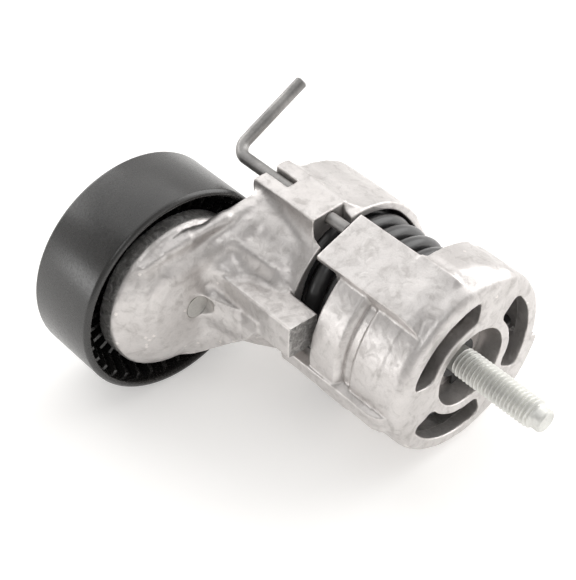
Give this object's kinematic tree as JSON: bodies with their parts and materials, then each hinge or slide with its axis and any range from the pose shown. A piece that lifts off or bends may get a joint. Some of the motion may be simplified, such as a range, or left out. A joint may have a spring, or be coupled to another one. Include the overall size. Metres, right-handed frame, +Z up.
{
  "type": "belt tensioner idler",
  "caption": "Spring-loaded belt tensioner: slotted cast base, swinging cast arm with a smooth black idler pulley, L-shaped lock pin and central mounting bolt.",
  "frame": {"origin": "where the pivot axis meets the plane of the base's mounting face", "axes": "-Y out of the mounting face along the free end of the bolt, -X towards the pulley, +Z up with the part lying on a bench"},
  "size_m": [0.1156, 0.1394, 0.0793],
  "materials": {
    "cast_aluminium": "satin",
    "ground_steel": "satin",
    "zinc_steel": "satin",
    "zinc_bolt": "satin",
    "pin_steel": "satin",
    "ball_steel": "gloss",
    "spring_black": "satin",
    "retainer_black": "matte",
    "bush_plastic": "matte",
    "lining_plastic": "matte",
    "seat_plastic": "matte",
    "cage_plastic": "matte",
    "pulley_black": "satin",
    "cap_black": "matte",
    "seal_rubber": "matte"
  },
  "bodies": {
    "base": {"base_housing": "cast_aluminium", "pivot_tube": "ground_steel", "end_plate": "zinc_steel", "friction_lining": "lining_plastic", "torsion_spring": "spring_black"},
    "arm": {"tensioner_arm": "cast_aluminium", "front_bush": "bush_plastic", "rear_bush": "bush_plastic", "spring_seat": "seat_plastic", "bearing_inner_ring": "ground_steel", "bearing_spacer": "zinc_steel", "pulley_screw": "zinc_bolt"},
    "pulley": {"idler_pulley": "pulley_black", "bearing_outer_ring": "ground_steel", "front_seal": "seal_rubber", "rear_seal": "seal_rubber", "dust_cap": "cap_black"},
    "ball_set": {"bearing_balls": "ball_steel", "ball_cage": "cage_plastic"},
    "pin": {"lock_pin": "pin_steel"},
    "bolt": {"mounting_bolt": "zinc_bolt", "bolt_retainer": "retainer_black"}
  },
  "joints": [
    {"name": "arm_swing", "type": "hinge", "parent": "base", "child": "arm", "pos_m": [0, 0.06, 0], "axis": [0, 1, 0], "range_deg": [-7, 27], "deforming": ["torsion_spring"]},
    {"name": "pulley_spin", "type": "hinge", "parent": "arm", "child": "pulley", "pos_m": [-0.047, 0.096, 0.0031], "axis": [0, 1, 0], "continuous": true},
    {"name": "ball_set_spin", "type": "hinge", "parent": "arm", "child": "ball_set", "pos_m": [-0.047, 0.096, 0.0031], "axis": [0, 1, 0], "continuous": true},
    {"name": "pin_pull", "type": "slide", "parent": "arm", "child": "pin", "axis": [0, 1, 0], "range_m": [0, 0.04]},
    {"name": "bolt_turn", "type": "hinge", "parent": "base", "child": "bolt", "pos_m": [0, 0.03, 0], "axis": [0, 1, 0], "continuous": true}
  ],
  "couplings": [
    {"joint": "ball_set_spin", "follows": "pulley_spin", "ratio": 0.6175}
  ]
}
